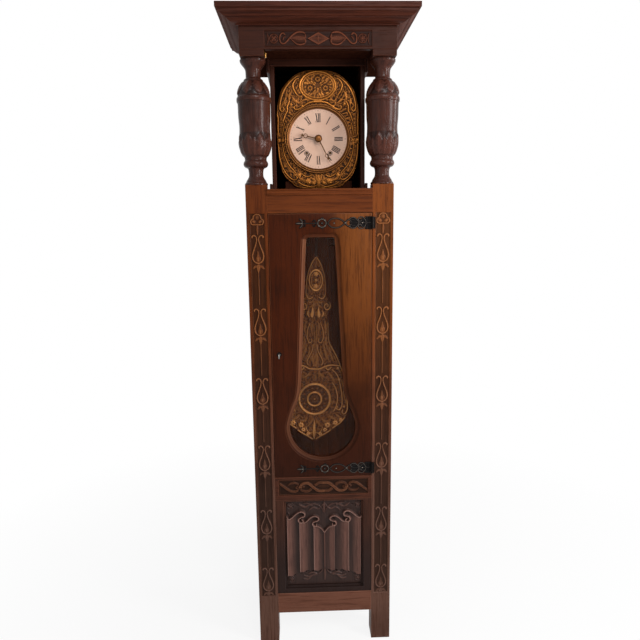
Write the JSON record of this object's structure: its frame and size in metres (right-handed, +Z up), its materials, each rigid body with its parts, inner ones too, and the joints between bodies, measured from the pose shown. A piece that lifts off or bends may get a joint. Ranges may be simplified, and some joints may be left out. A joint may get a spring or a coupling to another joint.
{
  "type": "longcase clock",
  "caption": "Tall dark oak case clock with turned hood columns, glazed trunk door, brass dial surround, weights and a broad embossed pendulum.",
  "frame": {"origin": "on the floor, under the middle of the clock's overall box", "axes": "+Z up, -Y towards the viewer who faces the dial, +X to that viewer's right"},
  "size_m": [0.671, 0.436, 2.396],
  "materials": {
    "oak_post": "dark stained oak, wax polished, worn lighter on its edges",
    "oak_dark": "dark stained oak, dull",
    "oak_carved": "carved oak, dark in its hollows and rubbed on its crests",
    "oak_column": "turned oak, dark purple brown, satin",
    "oak_crown": "dark stained oak, satin",
    "oak_door": "red brown stained oak, satin",
    "pressed_brass": "embossed sheet brass with old dark lacquer in its hollows",
    "polished_brass": "polished brass",
    "wheel_brass": "machined brass",
    "enamel": "glossy pinkish cream enamel with black numerals",
    "black_iron": "forged iron, blackened",
    "weight_iron": "cast iron, dull black",
    "steel": "steel, slightly tarnished",
    "bell_metal": "cast bell metal, turned",
    "glass": "clear flat glass",
    "rope": "twisted hemp cord"
  },
  "bodies": {
    "case": {"front_post_left": "oak_post", "front_post_right": "oak_post", "rear_post_left": "oak_dark", "rear_post_right": "oak_dark", "top_rail_front": "oak_post", "mid_rail_front": "oak_post", "guilloche_panel": "oak_carved", "linenfold_frame": "oak_post", "linenfold_panel": "oak_carved", "bottom_rail_front": "oak_post", "side_rails": "oak_dark", "side_panel_left": "oak_dark", "side_panel_right": "oak_dark", "back_board": "oak_dark", "trunk_floor": "oak_dark", "hood_floor": "oak_dark", "column_left": "oak_column", "column_right": "oak_column", "column_blocks": "oak_crown", "frieze_front": "oak_crown", "frieze_sides": "oak_crown", "crown_front": "oak_crown", "crown_left": "oak_crown", "crown_right": "oak_crown", "top_board": "oak_dark", "soffit_board": "oak_dark", "hood_side_left": "oak_crown", "hood_side_right": "oak_crown", "hood_mouldings": "oak_crown", "seat_board": "oak_dark", "hinge_pins": "black_iron", "hood_catch": "pressed_brass", "dial_surround": "pressed_brass", "dial_bezel": "polished_brass", "enamel_dial": "enamel", "movement_cage": "black_iron", "bell": "bell_metal"},
    "door": {"door_board": "oak_door", "window_glass": "glass", "strap_hinge_upper": "black_iron", "strap_hinge_lower": "black_iron", "door_lock": "black_iron"},
    "key": {"door_key": "steel"},
    "bolt": {"lock_bolt": "steel"},
    "minute_work": {"centre_arbor": "steel", "minute_hand": "polished_brass"},
    "hour_work": {"hour_hand": "polished_brass"},
    "motion_work": {"motion_wheel": "wheel_brass"},
    "going_drum": {"going_barrel": "wheel_brass"},
    "strike_drum": {"strike_barrel": "wheel_brass"},
    "going_load": {"going_weight": "weight_iron", "going_rope": "rope"},
    "strike_load": {"strike_weight": "weight_iron", "strike_rope": "rope"},
    "escape": {"escape_wheel": "wheel_brass"},
    "pallets": {"anchor": "steel"},
    "pendulum": {"pendulum_rod": "steel", "pendulum_front": "pressed_brass", "pendulum_bob": "weight_iron"},
    "hammer": {"hammer": "black_iron"}
  },
  "joints": [
    {"name": "door_swing", "type": "hinge", "parent": "case", "child": "door", "pos_m": [0.1895, -0.1329, 1.22], "axis": [0, 0, 1], "range_deg": [0, 110]},
    {"name": "key_turn", "type": "hinge", "parent": "door", "child": "key", "pos_m": [-0.159, -0.13, 1.208], "axis": [0, 1, 0], "range_deg": [0, 90]},
    {"name": "bolt_slide", "type": "slide", "parent": "door", "child": "bolt", "axis": [-1, 0, 0], "range_m": [0, 0.008]},
    {"name": "hands_turn", "type": "hinge", "parent": "case", "child": "minute_work", "pos_m": [0, -0.04, 1.995], "axis": [0, 1, 0], "continuous": true},
    {"name": "hour_turn", "type": "hinge", "parent": "case", "child": "hour_work", "pos_m": [0, -0.037, 1.995], "axis": [0, 1, 0], "continuous": true},
    {"name": "motion_turn", "type": "hinge", "parent": "case", "child": "motion_work", "pos_m": [0.032, -0.012, 1.995], "axis": [0, 1, 0], "continuous": true},
    {"name": "going_fall", "type": "slide", "parent": "case", "child": "going_load", "axis": [0, 0, 1], "range_m": [-1.36, 0], "deforming": ["going_rope"]},
    {"name": "strike_fall", "type": "slide", "parent": "case", "child": "strike_load", "axis": [0, 0, 1], "range_m": [-1.36, 0], "deforming": ["strike_rope"]},
    {"name": "going_wind", "type": "hinge", "parent": "case", "child": "going_drum", "pos_m": [-0.0435, 0.1, 1.945], "axis": [0, 1, 0], "range_deg": [-2870, 0]},
    {"name": "strike_wind", "type": "hinge", "parent": "case", "child": "strike_drum", "pos_m": [0.0435, 0.1, 1.945], "axis": [0, 1, 0], "range_deg": [0, 2870]},
    {"name": "escape_turn", "type": "hinge", "parent": "case", "child": "escape", "pos_m": [0, 0.083, 2.04], "axis": [0, 1, 0], "continuous": true},
    {"name": "pendulum_swing", "type": "hinge", "parent": "case", "child": "pendulum", "pos_m": [0, 0.005, 2.066], "axis": [0, 1, 0], "range_deg": [-4.95, 2.05]},
    {"name": "anchor_rock", "type": "hinge", "parent": "case", "child": "pallets", "pos_m": [0, 0.083, 2.066], "axis": [0, 1, 0], "range_deg": [-4.95, 2.05]},
    {"name": "hammer_lift", "type": "hinge", "parent": "case", "child": "hammer", "pos_m": [0.074, 0.092, 2.003], "axis": [0, 1, 0], "range_deg": [0, 9], "stiffness_Nm_per_rad": 0.6, "springref_deg": -11.46}
  ],
  "couplings": [
    {"joint": "bolt_slide", "follows": "key_turn", "m_per_rad": 0.00509},
    {"joint": "hour_turn", "follows": "hands_turn", "ratio": 0.083333},
    {"joint": "motion_turn", "follows": "hands_turn", "ratio": -0.33333},
    {"joint": "going_wind", "follows": "going_fall", "rad_per_m": 36.496},
    {"joint": "strike_wind", "follows": "strike_fall", "rad_per_m": -36.496},
    {"joint": "anchor_rock", "follows": "pendulum_swing", "ratio": 1}
  ]
}
